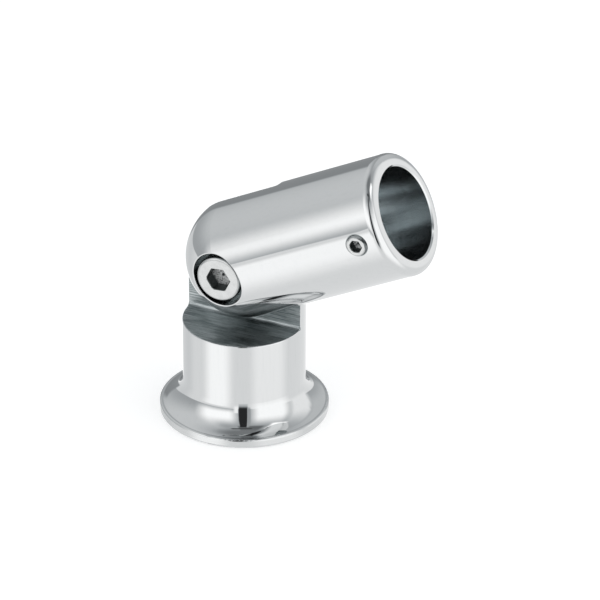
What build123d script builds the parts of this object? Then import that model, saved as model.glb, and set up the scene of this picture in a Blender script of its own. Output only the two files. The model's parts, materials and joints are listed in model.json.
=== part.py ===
from build123d import *
import math
import os

# Folding stanchion base: a round deck foot and a tube socket that swing on each other at a
# half-lap, held by one socket-head screw, with a grub screw that grips the tube.
# Frame: origin on the deck, on the axis of the foot; +Z up; the tube points towards +X and up,
# and the pivot axis runs along Y, with the head of the pivot screw on the -Y side.

# ---- driving dimensions, millimetres and degrees ----
tube_d = 25.4                 # one-inch rail tube that the socket takes
tube_play = 0.1               # diameter allowance of the bore over the tube
bore_depth = 30.0

column_d = 34.0
socket_d = 33.6
flange_d = 47.0
rim_height = 2.7
rim_edge_r = 0.6
rim_land = 0.4                # flat strip on top of the rim
flare_r = 8.0                 # concave sweep from the column out to the rim
shoulder_z = 28.0             # deck to the milled half-moon shoulder
shoulder_root_r = 1.2
tongue_edge_r = 0.3           # broken edges round the shoulder and the tongue's flat face
pivot_x = -0.8                # the pivot axis stands just behind the axis of the foot
pivot_z = 46.5                # deck to the pivot axis
crown_drop = 1.4              # pivot axis down to the centre of the tongue's rounded top

tube_angle = 26.5             # rise of the tube above the deck as shown
socket_length = 54.2          # pivot axis to the mouth
ball_ahead = 1.9              # pivot axis to the centre of the ball end, up the tube
mouth_round_r = 2.5
mouth_chamfer = 0.4
lap_reach = 20.5              # pivot axis to the end wall of the lap
lap_root_r = 1.2
lap_gap = 0.1

deck_thread_r = 4.25          # M10 tapping size
deck_thread_depth = 20.0

screw_r = 3.95                # M8 pivot screw, a running fit in both parts
tongue_hole_r = 4.0
tongue_hole_depth = 14.0
cheek_hole_r = 4.03
head_r = 6.5
head_height = 8.0
head_edge_r = 0.9
head_recess = 2.2             # head face below the widest line of the socket
head_hex_af = 6.0
head_hex_depth = 3.4
screw_length = 20.0
screw_tip_chamfer = 0.8
counterbore_r = 7.75
counterbore_edge_r = 0.25     # broken edge where it comes out through the ball end
hex_tilt = 4.0                # turn of the hexagons out of the deck plane

washer_r = 6.35               # spring lock washer for a socket-head screw
washer_hole_r = 4.05
washer_thick = 2.0
washer_slit = 1.2
washer_slit_lean = 20.0

grub_r = 2.95                 # M6 grub screw, a running fit in its hole
grub_hole_r = 3.0
grub_mouth_r = 3.2
grub_length = 4.8
grub_proud = 0.8              # stands out of the wall until the tube is gripped
grub_chamfer = 0.5
grub_from_mouth = 7.7
grub_hex_af = 3.0
grub_hex_depth = 2.3

# ---- derived values ----
column_r = column_d / 2
socket_r = socket_d / 2
flange_r = flange_d / 2
bore_r = (tube_d + tube_play) / 2
flare_end_r = flange_r - rim_edge_r - rim_land
flare_drop = math.sqrt(flare_r**2 - (column_r + flare_r - flare_end_r)**2)
flare_top_z = rim_height + flare_drop
flare_centre = (column_r + flare_r, flare_top_z)
flare_sweep = math.degrees(math.acos((flare_centre[0] - flare_end_r) / flare_r))
ball_end = ball_ahead - socket_r
bore_floor = socket_length - bore_depth
crown_z = pivot_z - crown_drop
grub_reach = socket_length - grub_from_mouth
grub_mouth_depth = grub_mouth_r - grub_hole_r
head_face_y = -(socket_r - head_recess)
head_seat_y = head_face_y + head_height
washer_seat_y = head_seat_y + washer_thick
grub_face_y = -(socket_r + grub_proud)
lap_y = lap_gap / 2
big = 3 * socket_length       # larger than the whole fitting, for cutting blocks

rise = math.radians(tube_angle)
along = Vector(math.cos(rise), 0, math.sin(rise))
pivot = Vector(pivot_x, 0, pivot_z)


def tube_plane(reach=0.0, depth=0.0):
    """Plane with x along the tube and normal -Y, `reach` from the pivot and `depth` towards +Y."""
    origin = pivot + along * reach + Vector(0, depth, 0)
    return Plane(origin=origin, x_dir=along, z_dir=(0, -1, 0))


def pivot_plane(y):
    """Plane across the pivot axis at y, facing -Y, with x along +X."""
    return Plane(origin=(pivot_x, y, pivot_z), x_dir=(1, 0, 0), z_dir=(0, -1, 0))


def on_arc(centre, radius, angle):
    """Point on a circle in a sketch, with the angle in degrees."""
    turn = math.radians(angle)
    return (centre[0] + radius * math.cos(turn), centre[1] + radius * math.sin(turn))


# ---- base: flange, flared column and tongue, one casting ----
with BuildPart() as base:
    with BuildSketch(Plane.XZ):
        with BuildLine():
            Polyline(
                (0, crown_z + column_r),
                (0, 0),
                (flange_r - rim_edge_r, 0),
            )
            RadiusArc((flange_r - rim_edge_r, 0), (flange_r, rim_edge_r), -rim_edge_r)
            Line((flange_r, rim_edge_r), (flange_r, rim_height - rim_edge_r))
            RadiusArc(
                (flange_r, rim_height - rim_edge_r),
                (flange_r - rim_edge_r, rim_height),
                -rim_edge_r,
            )
            Line((flange_r - rim_edge_r, rim_height), (flare_end_r, rim_height))
            ThreePointArc(
                (flare_end_r, rim_height),
                on_arc(flare_centre, flare_r, 180 + flare_sweep / 2),
                (column_r, flare_top_z),
            )
            Line((column_r, flare_top_z), (column_r, crown_z))
            ThreePointArc(
                (column_r, crown_z),
                on_arc((0, crown_z), column_r, 45),
                (0, crown_z + column_r),
            )
        make_face()
    revolve(axis=Axis.Z)

    # The near half above the shoulder is milled away, with a rounded root along the wall.
    with BuildSketch(Plane.YZ.shift_origin((0, lap_y, shoulder_z))) as cut:
        Rectangle(big, big, align=(Align.MAX, Align.MIN))
        fillet(cut.vertices().sort_by_distance((0, lap_y, shoulder_z))[0], radius=shoulder_root_r)
    extrude(amount=big, both=True, mode=Mode.SUBTRACT)
    milled_edges = base.edges().filter_by_position(Axis.Y, -big, lap_y)
    milled_edges = milled_edges.filter_by_position(Axis.Z, shoulder_z, big)
    fillet(milled_edges - milled_edges.filter_by(Axis.X), radius=tongue_edge_r)

    # Thread for the pivot screw, blind in the tongue, and thread for the deck bolt underneath.
    with BuildSketch(pivot_plane(lap_y)):
        Circle(tongue_hole_r)
    extrude(amount=-tongue_hole_depth, mode=Mode.SUBTRACT)
    with BuildSketch(Plane.XY):
        Circle(deck_thread_r)
    extrude(amount=deck_thread_depth, mode=Mode.SUBTRACT)

# ---- tube socket: bored cylinder with a ball end, half of it cut away at the lap ----
with BuildPart() as tube_socket:
    with BuildSketch(tube_plane()):
        with BuildLine():
            ThreePointArc(
                (ball_end, 0),
                on_arc((ball_ahead, 0), socket_r, 135),
                (ball_ahead, socket_r),
            )
            Line((ball_ahead, socket_r), (socket_length - mouth_round_r, socket_r))
            RadiusArc(
                (socket_length - mouth_round_r, socket_r),
                (socket_length, socket_r - mouth_round_r),
                mouth_round_r,
            )
            Polyline(
                (socket_length, socket_r - mouth_round_r),
                (socket_length, bore_r + mouth_chamfer),
                (socket_length - mouth_chamfer, bore_r),
                (bore_floor, bore_r),
                (bore_floor, 0),
                (ball_end, 0),
            )
        make_face()
    revolve(axis=Axis(pivot, along))

    # The far half is cut away round the pivot to lap against the tongue.
    lap_plane = Plane(origin=pivot, x_dir=along, z_dir=Vector(0, 1, 0).cross(along) * -1)
    with BuildSketch(lap_plane):
        with BuildLine():
            Polyline(
                (lap_reach, -lap_y + lap_root_r),
                (lap_reach, big),
                (-big, big),
                (-big, -lap_y),
                (lap_reach - lap_root_r, -lap_y),
            )
            RadiusArc(
                (lap_reach - lap_root_r, -lap_y),
                (lap_reach, -lap_y + lap_root_r),
                -lap_root_r,
            )
        make_face()
    extrude(amount=big, both=True, mode=Mode.SUBTRACT)

    # Counterbore and clearance hole for the pivot screw.
    with BuildSketch(tube_plane(depth=washer_seat_y)):
        Circle(counterbore_r)
    extrude(amount=big, mode=Mode.SUBTRACT)
    counterbore_mouth = tube_socket.edges(Select.LAST).filter_by_position(Axis.Y, -big, head_face_y + 2)
    fillet(counterbore_mouth, radius=counterbore_edge_r)
    with BuildSketch(tube_plane(depth=socket_r)):
        Circle(cheek_hole_r)
    extrude(amount=2 * socket_r, mode=Mode.SUBTRACT)

    # Threaded hole for the grub screw through the near wall, with a countersunk mouth.
    with BuildSketch(tube_plane(reach=grub_reach, depth=0)):
        Circle(grub_hole_r)
    extrude(amount=big, mode=Mode.SUBTRACT)
    with BuildSketch(tube_plane(reach=grub_reach, depth=grub_mouth_depth - socket_r)) as inner:
        Circle(grub_hole_r)
    with BuildSketch(tube_plane(reach=grub_reach, depth=-socket_r)) as outer:
        Circle(grub_mouth_r)
    loft(sections=[inner.sketch, outer.sketch], mode=Mode.SUBTRACT)

# ---- pivot screw: hexagon-socket cap screw, its shank running through both parts ----
with BuildPart() as pivot_screw:
    with BuildSketch(pivot_plane(head_seat_y)):
        Circle(head_r)
    extrude(amount=head_height)
    fillet(pivot_screw.edges().group_by(Axis.Y)[0], radius=head_edge_r)
    with BuildSketch(pivot_plane(head_seat_y)):
        Circle(screw_r)
    extrude(amount=-screw_length)
    chamfer(pivot_screw.edges().group_by(Axis.Y)[-1], length=screw_tip_chamfer)
    with BuildSketch(pivot_plane(head_face_y)):
        RegularPolygon(head_hex_af / 2, 6, major_radius=False, rotation=hex_tilt)
    extrude(amount=-head_hex_depth, mode=Mode.SUBTRACT)

# ---- lock washer: split spring ring under the head ----
with BuildPart() as lock_washer:
    with BuildSketch(tube_plane(depth=head_seat_y)):
        Circle(washer_r)
        Circle(washer_hole_r, mode=Mode.SUBTRACT)
    extrude(amount=-washer_thick)
    slit_plane = Plane(
        origin=pivot + Vector(0, head_seat_y + washer_thick / 2, 0),
        x_dir=(1, 0, 0),
        z_dir=(0, 0, 1),
    )
    with BuildSketch(slit_plane):
        Rectangle(washer_slit, big, rotation=washer_slit_lean)
    extrude(amount=washer_r, mode=Mode.SUBTRACT)

# ---- grub screw: headless, through the wall of the socket, closing on the tube ----
with BuildPart() as grub_screw:
    with BuildSketch(tube_plane(reach=grub_reach, depth=grub_face_y)):
        Circle(grub_r)
    extrude(amount=-grub_length)
    chamfer(grub_screw.edges().group_by(Axis.Y)[0], length=grub_chamfer)
    chamfer(grub_screw.edges().group_by(Axis.Y)[-1], length=grub_chamfer)
    with BuildSketch(tube_plane(reach=grub_reach, depth=grub_face_y)):
        RegularPolygon(grub_hex_af / 2, 6, major_radius=False, rotation=hex_tilt - tube_angle)
    extrude(amount=-grub_hex_depth, mode=Mode.SUBTRACT)

# ---- labels and files ----
base.part.label = "base"
tube_socket.part.label = "tube_socket"
pivot_screw.part.label = "pivot_screw"
lock_washer.part.label = "lock_washer"
grub_screw.part.label = "grub_screw"

os.makedirs("parts", exist_ok=True)
for piece in (base, tube_socket, pivot_screw, lock_washer, grub_screw):
    export_step(piece.part, f"parts/{piece.part.label}.step")
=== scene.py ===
import json
import math

import bmesh
import bpy
from mathutils import Matrix, Vector


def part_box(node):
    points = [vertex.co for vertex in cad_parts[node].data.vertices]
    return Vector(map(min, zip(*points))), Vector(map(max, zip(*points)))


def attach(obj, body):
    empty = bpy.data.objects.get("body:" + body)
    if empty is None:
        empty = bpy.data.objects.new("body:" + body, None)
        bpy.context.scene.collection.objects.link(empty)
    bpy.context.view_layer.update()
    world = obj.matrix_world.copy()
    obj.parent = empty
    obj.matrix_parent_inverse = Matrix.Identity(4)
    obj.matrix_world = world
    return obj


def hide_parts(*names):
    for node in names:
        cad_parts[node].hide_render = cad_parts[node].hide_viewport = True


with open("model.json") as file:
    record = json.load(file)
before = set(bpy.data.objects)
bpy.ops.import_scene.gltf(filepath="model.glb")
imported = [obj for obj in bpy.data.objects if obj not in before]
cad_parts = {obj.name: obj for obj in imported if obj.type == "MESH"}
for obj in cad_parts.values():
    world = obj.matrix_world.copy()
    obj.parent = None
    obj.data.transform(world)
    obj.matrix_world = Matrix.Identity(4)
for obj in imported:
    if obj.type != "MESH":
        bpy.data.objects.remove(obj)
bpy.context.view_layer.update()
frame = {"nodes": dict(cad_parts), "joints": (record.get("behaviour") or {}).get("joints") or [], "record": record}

MM = 0.001

# ---- where things are, from the frame ----
joints = {joint["name"]: joint for joint in frame["joints"]}
mounts = {mount["name"]: mount for mount in frame["record"]["mounts"]}
pivot = Vector(joints["socket_tilt"]["pos_m"])
tube_direction = Vector(mounts["tube_bore"]["axis"]).normalized()
screw_low, screw_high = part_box("pivot_screw")
screw_centre = (screw_low + screw_high) / 2
grub_low, grub_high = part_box("grub_screw")
grub_centre = (grub_low + grub_high) / 2

# ---- sizes of the CAD that the frame doesn't give, in millimetres ----
BORE_R = 12.75
BORE_FLOOR = 24.2             # pivot axis to the floor of the bore
SHOULDER_Z = 28.0
COUNTERBORE_R = 7.75
GRUB_HOLE_R = 3.0
DECK_HOLE_R = 4.25
DECK_HOLE_DEPTH = 20.0
HEX_TILT = math.radians(4.0)  # turn of both hexagons out of the deck plane

PIVOT_SHANK_R = 3.95
PIVOT_HEAD_HEIGHT = 8.0
PIVOT_HEAD_EDGE = 0.9
PIVOT_HEX = 6.0
PIVOT_HEX_DEPTH = 3.4
GRUB_HEX = 3.0
GRUB_HEX_DEPTH = 2.3
GRUB_CHAMFER = 0.5

# ---- camera: azimuth from -Y towards +X, elevation above the deck, lengths in metres ----
CAMERA_AZIMUTH = math.radians(24.7)
CAMERA_ELEVATION = math.radians(28.5)
CAMERA_ROLL = math.radians(0.27)
CAMERA_DISTANCE = 1.05
CAMERA_LENS = 230.8           # focal length in millimetres
CAMERA_CLIP = (0.05, 50)
CAMERA_AIM_HEIGHT = 0.040
CAMERA_AIM_RIGHT = 0.01526
CAMERA_AIM_UP = -0.00586


def add_camera():
    """Camera that looks at a point on the foot's axis, shifted across the view."""
    toward = Vector((
        math.cos(CAMERA_ELEVATION) * math.sin(CAMERA_AZIMUTH),
        -math.cos(CAMERA_ELEVATION) * math.cos(CAMERA_AZIMUTH),
        math.sin(CAMERA_ELEVATION),
    ))
    level = Vector((math.cos(CAMERA_AZIMUTH), math.sin(CAMERA_AZIMUTH), 0))
    upright = toward.cross(level)
    right = level * math.cos(CAMERA_ROLL) + upright * math.sin(CAMERA_ROLL)
    up = upright * math.cos(CAMERA_ROLL) - level * math.sin(CAMERA_ROLL)
    aim = Vector((0, 0, CAMERA_AIM_HEIGHT)) + right * CAMERA_AIM_RIGHT + up * CAMERA_AIM_UP
    turned = Matrix((right, up, toward)).transposed().to_4x4()
    data = bpy.data.cameras.new("camera")
    data.lens = CAMERA_LENS
    data.clip_start, data.clip_end = CAMERA_CLIP
    camera = bpy.data.objects.new("camera", data)
    bpy.context.scene.collection.objects.link(camera)
    camera.matrix_world = Matrix.Translation(aim + toward * CAMERA_DISTANCE) @ turned
    bpy.context.scene.camera = camera


# ---- node helpers ----
class Graph:
    """Short calls for building a node tree."""

    def __init__(self, tree):
        self.tree = tree

    def node(self, kind, **settings):
        made = self.tree.nodes.new(kind)
        for name, value in settings.items():
            setattr(made, name, value)
        return made

    def feed(self, socket, value):
        """Links a socket to another, or sets it to a constant."""
        if isinstance(value, bpy.types.NodeSocket):
            self.tree.links.new(value, socket)
        else:
            socket.default_value = value

    def math(self, operation, *values):
        made = self.node("ShaderNodeMath", operation=operation)
        for socket, value in zip(made.inputs, values):
            self.feed(socket, value)
        return made.outputs[0]

    def vector(self, operation, *values):
        made = self.node("ShaderNodeVectorMath", operation=operation)
        for socket, value in zip(made.inputs, values):
            self.feed(socket, value)
        scalar = operation in ("LENGTH", "DOT_PRODUCT")
        return made.outputs["Value" if scalar else "Vector"]

    def split(self, vector):
        made = self.node("ShaderNodeSeparateXYZ")
        self.feed(made.inputs[0], vector)
        return made.outputs

    def join(self, x, y, z):
        made = self.node("ShaderNodeCombineXYZ")
        for socket, value in zip(made.inputs, (x, y, z)):
            self.feed(socket, value)
        return made.outputs[0]

    def ramp(self, value, low, high, at_low=0.0, at_high=1.0):
        """Smooth step of a value from one level to another."""
        made = self.node("ShaderNodeMapRange", interpolation_type="SMOOTHSTEP")
        for name, given in zip(
            ("Value", "From Min", "From Max", "To Min", "To Max"),
            (value, low, high, at_low, at_high),
        ):
            self.feed(made.inputs[name], given)
        return made.outputs["Result"]

    def window(self, value, limits, fades):
        """1 between the limits, falling to 0 over the fades outside them."""
        rise = self.ramp(value, limits[0] - fades[0], limits[0])
        fall = self.ramp(value, limits[1], limits[1] + fades[1], 1.0, 0.0)
        return self.math("MULTIPLY", rise, fall)

    def all_of(self, *masks):
        """1 where every mask is 1."""
        made = masks[0]
        for mask in masks[1:]:
            made = self.math("MULTIPLY", made, mask)
        return made

    def blend(self, factor, low, high):
        made = self.node("ShaderNodeMix", data_type="FLOAT")
        self.feed(made.inputs["Factor"], factor)
        self.feed(made.inputs["A"], low)
        self.feed(made.inputs["B"], high)
        return made.outputs["Result"]

    def tint(self, factor, low, high):
        """Blend of two colours, each a socket or red, green and blue."""
        made = self.node("ShaderNodeMix", data_type="RGBA")
        self.feed(made.inputs["Factor"], factor)
        # The colour sockets share the names A, B and Result with the others, so they go by place.
        for socket, value in zip((made.inputs[6], made.inputs[7]), (low, high)):
            self.feed(socket, value if isinstance(value, bpy.types.NodeSocket) else (*value, 1.0))
        return made.outputs[2]

    def noise(self, place, stretch, detail=3.0, roughness=0.55):
        """Noise from 0 to 1 with `stretch` cells per millimetre along x, y and z."""
        made = self.node("ShaderNodeTexNoise")
        self.feed(made.inputs["Vector"], self.vector("MULTIPLY", place, stretch))
        made.inputs["Scale"].default_value = 1.0
        made.inputs["Detail"].default_value = detail
        made.inputs["Roughness"].default_value = roughness
        return made.outputs["Fac"]


# ---- studio: a light tent round the part, described by direction ----
# Azimuths run from +X towards +Y and elevations up from the horizon, in degrees.
# Each patch covers the ones before it. It is full inside its limits and fades outside them:
# azimuths (low, high), fades (low, high), elevations (low, high), fades (low, high), level.
TENT = {
    "back_left": ((150, 225), (40, 30), (38, 50), (42, 30), 0.78),
    "table": ((0, 360), (1, 1), (-90, -8), (1, 1), 0.95),
    "table_back": ((135, 165), (25, 30), (-50, -8), (20, 1), 0.80),
    "table_near": ((110, 128), (4, 6), (-34, -19), (10, 3), 1.25),
    "table_left": ((234, 254), (26, 26), (-30, -16), (40, 6), 1.34),
    "right_wall": ((30, 58), (16, 14), (-6, 20), (14, 45), 1.10),
    "back_right": ((72, 100), (10, 8), (22, 42), (30, 28), 0.68),
    "back_card": ((106, 139), (8, 5), (-16, 15), (3, 8), 0.33),
    "left_box": ((232, 267), (32, 23), (12, 24), (24, 38), 1.42),
    "right_box": ((323, 363), (22, 25), (-12, 22), (34, 40), 1.38),
    "left_strip": ((280, 283), (5, 1.5), (-12, 6), (12, 6), 1.25),
    "roof_front": ((284, 334), (8, 14), (63, 76), (8, 6), 0.18),
    "gap": ((286, 300), (2.5, 3), (-9, 62), (20, 4), 0.03),
    "gap_step": ((301, 303), (1, 6), (-6, 62), (14, 4), 0.44),
    "roof_light": ((0, 22), (14, 10), (54, 66), (6, 8), 1.65),
    "roof": ((0, 360), (1, 1), (82, 90), (16, 1), 0.25),
    "roof_seam": ((262, 314), (8, 8), (69, 71), (2, 2), 0.08),
}
WALL_LEVEL = 0.49             # of the tent where no patch covers it
SHADE = (0.945, 0.99, 1.02)   # the dim parts of the tent look cool, and the lit ones white
LIGHT = (1.0, 1.0, 1.0)
SHADE_LEVEL, LIGHT_LEVEL = 0.2, 1.2

FLOOR_SIZE = 6.0
FLOOR_Z = -0.0001             # a hair under the flange, so that the two faces don't coincide
FLOOR_WHITE = (0.9, 0.9, 0.9, 1)
FLOOR_GLOW = 0.45


def add_studio():
    world = bpy.data.worlds.new("studio")
    bpy.context.scene.world = world
    world.use_nodes = True
    graph = Graph(world.node_tree)
    x, y, z = graph.split(graph.node("ShaderNodeTexCoord").outputs["Generated"])
    azimuth = graph.math("DEGREES", graph.math("ARCTAN2", y, x))
    elevation = graph.math("DEGREES", graph.math("ARCSINE", z))
    level = WALL_LEVEL
    for azimuths, azimuth_fades, elevations, elevation_fades, patch_level in TENT.values():
        middle = sum(azimuths) / 2
        half = (azimuths[1] - azimuths[0]) / 2
        offset = graph.math("WRAP", graph.math("SUBTRACT", azimuth, middle), 180.0, -180.0)
        across = graph.window(offset, (-half, half), azimuth_fades)
        upward = graph.window(elevation, elevations, elevation_fades)
        level = graph.blend(graph.math("MULTIPLY", across, upward), level, patch_level)
    background = world.node_tree.nodes["Background"]
    colour = graph.tint(graph.ramp(level, SHADE_LEVEL, LIGHT_LEVEL), SHADE, LIGHT)
    graph.feed(background.inputs["Color"], colour)
    graph.feed(background.inputs["Strength"], level)


def add_floor():
    """White floor. The metal reflects the tent's own lower half instead of it."""
    bpy.ops.mesh.primitive_plane_add(size=FLOOR_SIZE, location=(0, 0, FLOOR_Z))
    floor = bpy.context.object
    floor.name = "floor"
    floor.visible_glossy = False
    material, graph, shader = new_material("floor_white")
    graph.feed(shader.inputs["Base Color"], FLOOR_WHITE)
    graph.feed(shader.inputs["Emission Color"], (1, 1, 1, 1))
    graph.feed(shader.inputs["Emission Strength"], FLOOR_GLOW)
    floor.data.materials.append(material)


# ---- materials ----
# Lengths are in millimetres of the part at rest, so each pattern moves with its piece.
def new_material(name):
    material = bpy.data.materials.new(name)
    material.use_nodes = True
    return material, Graph(material.node_tree), material.node_tree.nodes["Principled BSDF"]


class Steel:
    """A steel whose colour, roughness and relief are blended from one finish to the next."""

    def __init__(self, name):
        self.material, self.graph, self.shader = new_material(name)
        self.shader.inputs["Metallic"].default_value = 1.0
        coordinates = self.graph.node("ShaderNodeTexCoord")
        self.place = self.graph.vector("SCALE", coordinates.outputs["Object"])
        self.place.node.inputs["Scale"].default_value = 1 / MM
        self.facing = coordinates.outputs["Normal"]

    def ground(self, colour, roughness, relief):
        """Sets the finish that the others are laid over."""
        self.colour = colour
        self.roughness = roughness
        self.relief = relief

    def finish(self, mask, colour, roughness, relief):
        """Lays a finish over the ones so far where the mask is 1."""
        self.colour = self.graph.tint(mask, self.colour, colour)
        self.roughness = self.graph.blend(mask, self.roughness, roughness)
        self.relief = self.graph.blend(mask, self.relief, relief)

    def done(self):
        graph = self.graph
        graph.feed(self.shader.inputs["Base Color"], self.colour)
        graph.feed(self.shader.inputs["Roughness"], self.roughness)
        bump = graph.node("ShaderNodeBump")
        bump.inputs["Strength"].default_value = 1.0
        bump.inputs["Distance"].default_value = MM
        graph.feed(bump.inputs["Height"], self.relief)
        graph.feed(self.shader.inputs["Normal"], bump.outputs["Normal"])
        return self.material


# Colours of the finishes: red, green and blue reflected.
BRIGHT = (0.67, 0.68, 0.684)
BRIGHT_DULL = (0.655, 0.667, 0.67)
MILLED = (0.55, 0.59, 0.60)
MILLED_DARK = (0.155, 0.18, 0.184)
# Bore colours: painted light, brighter than the polished steel so that the inside of the bore looks lit.
BORED_PAINTED_LIGHT = (0.76, 0.79, 0.80)
BORED_DULL_PAINTED_LIGHT = (0.69, 0.72, 0.73)
# Hole and underside colours: painted shade, darker than the polished steel.
DRILLED_PAINTED_SHADE = (0.44, 0.47, 0.475)
DRILLED_DULL_PAINTED_SHADE = (0.32, 0.35, 0.355)
SCREW = (0.56, 0.57, 0.57)
SCREW_DULL = (0.52, 0.53, 0.53)
# Painted shade on the threads, the part of a screw that sits in its hole.
THREAD_PAINTED_SHADE = (0.20, 0.215, 0.22)
# Hexagon socket: walls darkened with painted shade, floor brightened with painted light.
SOCKET_WALL_PAINTED_SHADE = (0.09, 0.10, 0.10)
SOCKET_FLOOR_PAINTED_LIGHT = (0.80, 0.81, 0.81)

# Roughness of the finishes that have one value, or one that a noise varies a little.
RIM_ROUGHNESS = 0.17
DECK_HOLE_ROUGHNESS = 0.25    # and that of the underside
BORE_ROUGHNESS = 0.15
COUNTERBORE_ROUGHNESS = 0.16
GRUB_HOLE_ROUGHNESS = 0.12
PIVOT_SCREW_ROUGHNESS = 0.17
GRUB_SCREW_ROUGHNESS = 0.09
THREAD_ROUGHNESS = 0.2
SOCKET_WALL_ROUGHNESS = 0.45
SOCKET_FLOOR_ROUGHNESS = 0.7
WASHER_ROUGHNESS = 0.3

POLISH_ROUGHNESS = (0.028, 0.038)
MILLED_ROUGHNESS = (0.28, 0.42)

# Noise cells per millimetre along x, y and z. A pattern is drawn out where it has few.
BASE_HAZE = (1.6, 1.6, 0.12)
SOCKET_HAZE = (0.5, 1.6, 0.5)
WAVES = (0.12, 0.12, 0.12)
SHOULDER_LINES = (0.10, 5.0, 5.0)
LAP_LINES = (0.12, 5.0, 5.0)
LAP_WALL_LINES = (4.0, 0.12, 4.0)
STAINS = (0.14, 0.3, 0.22)
MARKS = (0.5, 0.5, 0.5)
FORGED = (1.6, 1.6, 1.6)
SCALE = (1.2, 1.2, 1.2)
# Cells of the two that are laid out along and out from an axis.
GROOVES = (1.0, 0.6, 1.0)     # per groove, and per step of the marks that bend it
GRAIN = (1.0, 2.0, 1.0)
GRAIN_ACROSS = 3.0            # the grain is this much finer out from the axis
GROOVE_PITCH = 0.35

# Heights of the relief, in millimetres.
WAVE_HEIGHT = 0.0015
LINE_HEIGHT = 0.03
GROOVE_HEIGHT = 0.005         # times the roughness
GRAIN_HEIGHT = 0.012          # times the roughness
HEX_WALL_HEIGHT = 0.02
HEX_FLOOR_HEIGHT = 0.04
SCALE_HEIGHT = 0.01

# How far a mask reaches past the faces that it is meant for, in millimetres.
TONGUE_REACH = 0.12
SHOULDER_REACH = 0.06
UNDERSIDE_REACH = 0.05
DECK_HOLE_REACH = 0.05
LAP_REACH = 0.2
BORE_REACH = 0.12
BORE_FLOOR_REACH = 0.1
COUNTERBORE_REACH = 0.04
GRUB_HOLE_REACH = 0.22        # takes in the countersunk mouth
HEX_SOCKET_REACH = 0.02
UNDER_HEAD_REACH = 0.05

RIM_INNER_R = 22.85           # just inside the rounded edge of the rim
RIM_FADE = 0.3
LAP_WALL_Y = 0.05             # the end wall of the lap lies beyond this
GRUB_HOLE_INNER = -3.0        # from the grub screw's centre to just past the end of its hole
HEX_SOCKET_TOP = 0.01         # the walls of a hexagon socket begin this far below the face
DOT_FADE = (0.35, 0.55)       # radii over which the painted shade of the drilled dot in a hexagon's floor fades out
GRUB_CHAMFER_UNSHADED = 0.8     # part of the grub screw's chamfer left without the thread's painted shade

# How squarely a surface has to face a finish's direction, as a cosine.
LAP_FACING = 0.9
LAP_WALL_FACING = 0.2
HEX_FLOOR_FACING = 0.75


def polish(steel, stretch):
    """Mirror polish: faint waves, and a haze drawn out along the polishing direction."""
    graph = steel.graph
    haze = graph.noise(steel.place, stretch, detail=4.0, roughness=0.6)
    waves = graph.noise(steel.place, WAVES, detail=1.0)
    steel.ground(
        graph.tint(graph.ramp(haze, 0.45, 0.75), BRIGHT, BRIGHT_DULL),
        graph.ramp(haze, 0.35, 0.75, *POLISH_ROUGHNESS),
        graph.math("MULTIPLY", waves, WAVE_HEIGHT),
    )


def mill(steel, mask, stretch):
    """Milled face: cutter lines drawn out one way, and stains."""
    graph = steel.graph
    lines = graph.noise(steel.place, stretch, detail=5.0, roughness=0.7)
    stains = graph.noise(steel.place, STAINS, detail=3.0, roughness=0.6)
    shade = graph.math(
        "ADD", graph.math("MULTIPLY", lines, 0.7), graph.math("MULTIPLY", stains, 0.3)
    )
    steel.finish(
        mask,
        graph.tint(graph.ramp(shade, 0.40, 0.62), MILLED_DARK, MILLED),
        graph.ramp(stains, 0.3, 0.7, *MILLED_ROUGHNESS),
        graph.math("MULTIPLY", lines, LINE_HEIGHT),
    )


def uneven(graph, noise, roughness):
    """Roughness that a noise takes a tenth down and up."""
    return graph.ramp(noise, 0.3, 0.7, roughness * 0.9, roughness * 1.1)


def turn(steel, mask, distance_along, shades, roughness):
    """Bored, drilled or faced: fine grooves, one after another along the cut."""
    graph = steel.graph
    feed = graph.math("MULTIPLY", distance_along, 1 / GROOVE_PITCH)
    wobble = graph.noise(steel.place, MARKS, detail=3.0)
    fine = graph.noise(graph.join(feed, wobble, 0.0), GROOVES, detail=2.0)
    steel.finish(
        mask,
        graph.tint(graph.ramp(fine, 0.35, 0.65), *shades),
        uneven(graph, wobble, roughness),
        graph.math("MULTIPLY", fine, GROOVE_HEIGHT * roughness),
    )


def from_axis(steel, point, direction):
    """Distance along an axis and out from it, in millimetres."""
    graph = steel.graph
    offset = graph.vector("SUBTRACT", steel.place, tuple(point / MM))
    along = graph.vector("DOT_PRODUCT", offset, tuple(direction))
    square = graph.vector("DOT_PRODUCT", offset, offset)
    out = graph.math("SQRT", graph.math("SUBTRACT", square, graph.math("MULTIPLY", along, along)))
    return along, out


def base_steel():
    steel = Steel("steel_base")
    graph = steel.graph
    polish(steel, BASE_HAZE)
    y, z = graph.split(steel.place)[1:]
    out = from_axis(steel, Vector((0, 0, 0)), Vector((0, 0, 1)))[1]
    # The shoulder and the tongue's flat face.
    milled = graph.all_of(
        graph.math("LESS_THAN", y, TONGUE_REACH),
        graph.math("GREATER_THAN", z, SHOULDER_Z - SHOULDER_REACH),
    )
    mill(steel, milled, SHOULDER_LINES)
    rim = graph.ramp(out, RIM_INNER_R, RIM_INNER_R + RIM_FADE)
    steel.finish(rim, BRIGHT_DULL, RIM_ROUGHNESS, 0.0)
    # The underside and the deck hole get the drilled colours, which are painted shade.
    underside = graph.math("LESS_THAN", z, UNDERSIDE_REACH)
    turn(steel, underside, out, (DRILLED_DULL_PAINTED_SHADE, DRILLED_PAINTED_SHADE), DECK_HOLE_ROUGHNESS)
    in_hole = graph.all_of(
        graph.math("LESS_THAN", out, DECK_HOLE_R + DECK_HOLE_REACH),
        graph.math("LESS_THAN", z, DECK_HOLE_DEPTH + DECK_HOLE_REACH),
    )
    turn(steel, in_hole, z, (DRILLED_DULL_PAINTED_SHADE, DRILLED_PAINTED_SHADE), DECK_HOLE_ROUGHNESS)
    return steel.done()


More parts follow.
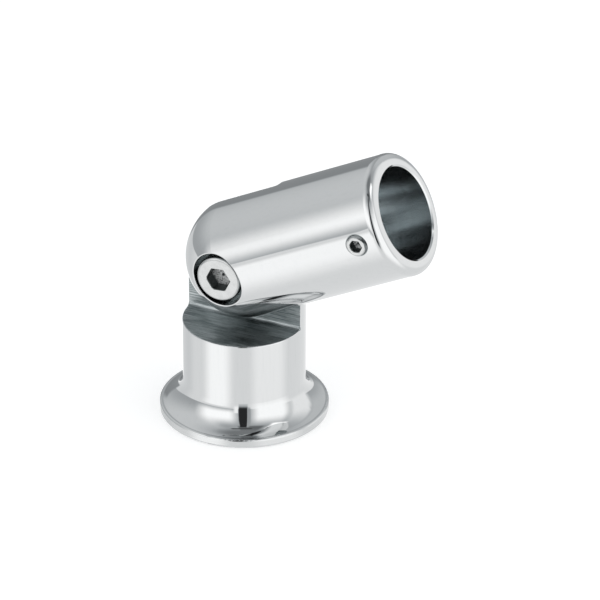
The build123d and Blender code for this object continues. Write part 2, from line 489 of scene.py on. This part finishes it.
def socket_steel():
    steel = Steel("steel_socket")
    graph = steel.graph
    polish(steel, SOCKET_HAZE)
    along, out = from_axis(steel, pivot, tube_direction)
    y = graph.split(steel.place)[1]
    # The lap: its flat face and its end wall.
    flat = graph.all_of(
        graph.math("LESS_THAN", graph.math("ABSOLUTE", y), LAP_REACH),
        graph.math("GREATER_THAN", graph.split(steel.facing)[1], LAP_FACING),
    )
    mill(steel, flat, LAP_LINES)
    facing_pivot = graph.vector("DOT_PRODUCT", steel.facing, tuple(-tube_direction))
    end_wall = graph.all_of(
        graph.math("GREATER_THAN", y, LAP_WALL_Y),
        graph.math("GREATER_THAN", facing_pivot, LAP_WALL_FACING),
    )
    mill(steel, end_wall, LAP_WALL_LINES)
    bored = graph.all_of(
        graph.math("LESS_THAN", out, BORE_R + BORE_REACH),
        graph.math("GREATER_THAN", along, BORE_FLOOR - BORE_FLOOR_REACH),
    )
    # The bore's colours are painted light.
    turn(steel, bored, along, (BORED_DULL_PAINTED_LIGHT, BORED_PAINTED_LIGHT), BORE_ROUGHNESS)
    # Counterbore of the pivot screw and hole of the grub screw, both darkened with painted shade.
    depth, out = from_axis(steel, pivot, Vector((0, -1, 0)))
    in_counterbore = graph.math("LESS_THAN", out, COUNTERBORE_R + COUNTERBORE_REACH)
    turn(steel, in_counterbore, depth, (DRILLED_DULL_PAINTED_SHADE, DRILLED_PAINTED_SHADE), COUNTERBORE_ROUGHNESS)
    depth, out = from_axis(steel, grub_centre, Vector((0, -1, 0)))
    in_grub_hole = graph.all_of(
        graph.math("LESS_THAN", out, GRUB_HOLE_R + GRUB_HOLE_REACH),
        graph.math("GREATER_THAN", depth, GRUB_HOLE_INNER),
    )
    turn(steel, in_grub_hole, depth, (DRILLED_DULL_PAINTED_SHADE, DRILLED_PAINTED_SHADE), GRUB_HOLE_ROUGHNESS)
    return steel.done()


def screw_steel(name, face_centre, hexagon, roughness, shade_from):
    """Turned steel, with a darker hexagon socket and a drilled dot in its floor: painted shade on the socket's
    walls and dot, painted light on its floor, and painted shade on the thread.
    """
    steel = Steel(name)
    graph = steel.graph
    depth, out = from_axis(steel, face_centre, Vector((0, 1, 0)))
    across = graph.math("MULTIPLY", out, GRAIN_ACROSS)
    grain = graph.noise(graph.join(across, depth, 0.0), GRAIN)
    marks = graph.noise(steel.place, MARKS, detail=3.0)
    steel.ground(
        graph.tint(graph.ramp(marks, 0.35, 0.7), SCREW, SCREW_DULL),
        uneven(graph, marks, roughness),
        graph.math("MULTIPLY", grain, GRAIN_HEIGHT * roughness),
    )
    # Painted shade: the screw is darkened from this depth inwards, where it sits in its hole.
    shaded_thread = graph.math("GREATER_THAN", depth, shade_from)
    steel.finish(shaded_thread, THREAD_PAINTED_SHADE, THREAD_ROUGHNESS, 0.0)
    inside = graph.all_of(
        graph.math("LESS_THAN", out, hexagon / math.sqrt(3) + HEX_SOCKET_REACH),
        graph.math("GREATER_THAN", depth, HEX_SOCKET_TOP),
    )
    # Painted shade on the hexagon's walls and drilled dot, painted light on its floor, broken up by forged
    # patches.
    forged = graph.noise(steel.place, FORGED, detail=4.0, roughness=0.65)
    wall_relief = graph.math("MULTIPLY", forged, HEX_WALL_HEIGHT)
    steel.finish(inside, SOCKET_WALL_PAINTED_SHADE, SOCKET_WALL_ROUGHNESS, wall_relief)
    clear_of_dot = graph.ramp(out, *DOT_FADE)
    light = graph.math("MULTIPLY", graph.ramp(forged, 0.30, 0.55), clear_of_dot)
    floor = graph.math("LESS_THAN", graph.split(steel.facing)[1], -HEX_FLOOR_FACING)
    steel.finish(
        graph.all_of(inside, floor),
        graph.tint(light, SOCKET_WALL_PAINTED_SHADE, SOCKET_FLOOR_PAINTED_LIGHT),
        SOCKET_FLOOR_ROUGHNESS,
        graph.math("MULTIPLY", forged, HEX_FLOOR_HEIGHT),
    )
    return steel.done()


def washer_steel():
    """Spring steel, dull all over."""
    steel = Steel("steel_lock_washer")
    graph = steel.graph
    scale = graph.noise(steel.place, SCALE, detail=4.0, roughness=0.6)
    steel.ground(
        graph.tint(graph.ramp(scale, 0.4, 0.65), SCREW_DULL, MILLED_DARK),
        WASHER_ROUGHNESS,
        graph.math("MULTIPLY", scale, SCALE_HEIGHT),
    )
    return steel.done()


# ---- screws: rings of points round an axis, each ring a depth and a radius for every angle ----
# Sizes in millimetres. Depths run from the screw's outer face inwards.
HEX_MOUTH = 0.2               # chamfer round the mouth of a hexagon socket
HEX_FLOOR_EDGE = (0.15, 0.05)  # heights above the floor between which its corner is rounded

PIVOT_AROUND = 144            # points in a ring
PIVOT_PITCH = 1.25
PIVOT_NECK = 2.5              # plain length under the head
PIVOT_NECK_CUT = 0.05         # the neck is this much thinner than the shank
PIVOT_RUN_OUT = 0.6           # from the neck to the first thread
PIVOT_UNDERCUT = 0.1          # from the head's underside down to the neck
PIVOT_THREAD_CHAMFERS = (0.8, 0.9)  # at the neck and at the tip
PIVOT_UNDER_CHAMFER = 0.2     # round the underside of the head
PIVOT_MIDDLE_SHIFT = 0.3      # a ring about halfway across the flat keeps its faces even
PIVOT_HEX_CORNER = 0.2        # rounding of the hexagon's floor, off its width
PIVOT_DOT_R = 0.45
PIVOT_DOT_DEPTH = 0.35
KNURL_FROM_FACE = 1.1
KNURL_FROM_UNDER = 0.7
KNURL_GROOVES = 36
KNURL_CUT = 0.14

GRUB_AROUND = 96
GRUB_PITCH = 1.0
GRUB_HEX_CORNER = 0.1
GRUB_DOT_R = 0.3
GRUB_DOT_EDGE = 0.05          # its edge lies this far below the hexagon's floor
GRUB_DOT_DEPTH = 0.3
GRUB_FACE_EDGE = 0.12         # the flat face ends this far inside the chamfer
GRUB_CUP_WALL = 0.5           # round the cup at the tip
GRUB_CUP_EDGE = 0.1
GRUB_CUP_SLOPE = 0.8          # depth of the cup over its radius

# Parts of a thread's pitch.
THREAD_DEPTH = 0.613
THREAD_CREST = 0.125
THREAD_ROOT = 0.25

SHARP = math.radians(32)      # edges sharper than this aren't shaded smooth


def circle(depth, radius):
    return depth, lambda angle: radius


def hexagon_ring(depth, across_flats):
    def radius(angle):
        return across_flats / 2 / math.cos(angle % (math.pi / 3) - math.pi / 6)

    return depth, radius


def hexagon_socket(across_flats, depth, corner, dot):
    """Rings from the edge of the drilled dot, a circle, out to the chamfered mouth."""
    return [
        dot,
        hexagon_ring(depth - HEX_FLOOR_EDGE[1], across_flats - corner),
        hexagon_ring(depth - HEX_FLOOR_EDGE[0], across_flats),
        hexagon_ring(HEX_MOUTH, across_flats),
        hexagon_ring(0.0, across_flats + 2 * HEX_MOUTH),
    ]


def rounded_edge(radius, edge, steps=6):
    """Rings of a quarter circle from the screw's flat face out to a side of that radius."""
    rings = []
    for step in range(1, steps + 1):
        angle = math.pi / 2 * step / steps
        inset = edge * (1 - math.sin(angle))
        rings.append(circle(edge * (1 - math.cos(angle)), radius - inset))
    return rings


def knurl(start, end, radius, grooves, cut):
    """Straight grooves along the side of a head, run out at both ends."""
    run_out = 2 * cut

    def grooved(angle):
        return radius - cut * (1 - math.cos(grooves * angle)) / 2

    return [
        circle(start, radius),
        (start + run_out, grooved),
        (end - run_out, grooved),
        circle(end, radius),
    ]


def thread(start, end, radius, pitch, chamfers, steps=8):
    """Right-hand thread from one depth to another, cut back by a chamfer at each end."""
    tooth = THREAD_DEPTH * pitch
    flank = (1 - THREAD_CREST - THREAD_ROOT) / 2
    rings = []
    for step in range(round((end - start) / pitch * steps) + 1):
        depth = min(start + step * pitch / steps, end)
        limit = radius - max(0, chamfers[0] - (depth - start), chamfers[1] - (end - depth))

        def tooth_radius(angle, depth=depth, limit=limit):
            phase = (depth / pitch + angle / (2 * math.pi)) % 1
            height = min(1, max(0, (abs(phase - 0.5) - THREAD_ROOT / 2) / flank))
            return min(limit, radius - tooth * (1 - height))

        rings.append((depth, tooth_radius))
    return rings


def add_screw(name, face_centre, rings, end_depths, around, material):
    """Skin over the rings, closed by a point on the axis at both ends."""
    mesh = bmesh.new()

    def point(depth, radius, angle):
        turned = angle + HEX_TILT
        offset = Vector((radius * math.cos(turned), depth, radius * math.sin(turned)))
        return mesh.verts.new(face_centre + offset * MM)

    angles = [2 * math.pi * step / around for step in range(around)]
    loops = [[point(depth, radius(angle), angle) for angle in angles] for depth, radius in rings]
    for inner, outer in zip(loops, loops[1:]):
        for step in range(around):
            after = (step + 1) % around
            mesh.faces.new((inner[step], inner[after], outer[after], outer[step]))
    for loop, depth in zip((loops[0], loops[-1]), end_depths):
        middle = point(depth, 0.0, 0.0)
        for step in range(around):
            mesh.faces.new((loop[step], loop[(step + 1) % around], middle))
    bmesh.ops.recalc_face_normals(mesh, faces=mesh.faces)
    for face in mesh.faces:
        face.smooth = True
    for edge in mesh.edges:
        edge.smooth = edge.calc_face_angle(0.0) < SHARP
    data = bpy.data.meshes.new(name)
    mesh.to_mesh(data)
    mesh.free()
    data.materials.append(material)
    piece = bpy.data.objects.new(name, data)
    bpy.context.scene.collection.objects.link(piece)
    return piece


def pivot_screw():
    face = Vector((screw_centre.x, screw_low.y, screw_centre.z))
    head_r = (screw_high.x - screw_low.x) / 2 / MM
    length = (screw_high.y - screw_low.y) / MM
    flat_r = head_r - PIVOT_HEAD_EDGE
    neck_r = PIVOT_SHANK_R - PIVOT_NECK_CUT
    under = PIVOT_HEAD_HEIGHT
    thread_start = under + PIVOT_NECK
    dot = circle(PIVOT_HEX_DEPTH, PIVOT_DOT_R)
    rings = hexagon_socket(PIVOT_HEX, PIVOT_HEX_DEPTH, PIVOT_HEX_CORNER, dot)
    middle_r = (flat_r + PIVOT_HEX / 2) / 2 + PIVOT_MIDDLE_SHIFT
    rings += [circle(0.0, middle_r), circle(0.0, flat_r)]
    rings += rounded_edge(head_r, PIVOT_HEAD_EDGE)
    rings += knurl(KNURL_FROM_FACE, under - KNURL_FROM_UNDER, head_r, KNURL_GROOVES, KNURL_CUT)
    rings += [
        circle(under - PIVOT_UNDER_CHAMFER, head_r),
        circle(under, head_r - PIVOT_UNDER_CHAMFER),
        circle(under, PIVOT_SHANK_R + PIVOT_NECK_CUT),
        circle(under + PIVOT_UNDERCUT, neck_r),
        circle(thread_start - PIVOT_RUN_OUT, neck_r),
    ]
    rings += thread(thread_start, length, PIVOT_SHANK_R, PIVOT_PITCH, PIVOT_THREAD_CHAMFERS)
    end_depths = (PIVOT_HEX_DEPTH + PIVOT_DOT_DEPTH, length)
    shade_from = under + UNDER_HEAD_REACH
    steel = screw_steel("steel_pivot_screw", face, PIVOT_HEX, PIVOT_SCREW_ROUGHNESS, shade_from)
    piece = add_screw("pivot_screw_cap", face, rings, end_depths, PIVOT_AROUND, steel)
    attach(piece, "pivot_bolt")
    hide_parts("pivot_screw")


def grub_screw():
    face = Vector((grub_centre.x, grub_low.y, grub_centre.z))
    radius = (grub_high.x - grub_low.x) / 2 / MM
    length = (grub_high.y - grub_low.y) / MM
    cup_r = radius - GRUB_CHAMFER - GRUB_CUP_WALL
    dot = circle(GRUB_HEX_DEPTH + GRUB_DOT_EDGE, GRUB_DOT_R)
    rings = hexagon_socket(GRUB_HEX, GRUB_HEX_DEPTH, GRUB_HEX_CORNER, dot)
    rings += [circle(0.0, radius - GRUB_CHAMFER - GRUB_FACE_EDGE)]
    rings += thread(0.0, length, radius, GRUB_PITCH, (GRUB_CHAMFER, GRUB_CHAMFER))
    rings += [circle(length, cup_r + GRUB_CUP_EDGE)]
    end_depths = (GRUB_HEX_DEPTH + GRUB_DOT_DEPTH, length - cup_r * GRUB_CUP_SLOPE)
    shade_from = GRUB_CHAMFER * GRUB_CHAMFER_UNSHADED
    steel = screw_steel("steel_grub_screw", face, GRUB_HEX, GRUB_SCREW_ROUGHNESS, shade_from)
    piece = add_screw("grub_screw_cup", face, rings, end_depths, GRUB_AROUND, steel)
    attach(piece, "grub")
    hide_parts("grub_screw")


def dress(node, material):
    for slot in frame["nodes"][node].material_slots:
        slot.material = material


add_camera()
add_studio()
add_floor()
bpy.context.scene.view_settings.view_transform = "Standard"

dress("base", base_steel())
dress("tube_socket", socket_steel())
dress("lock_washer", washer_steel())
pivot_screw()
grub_screw()
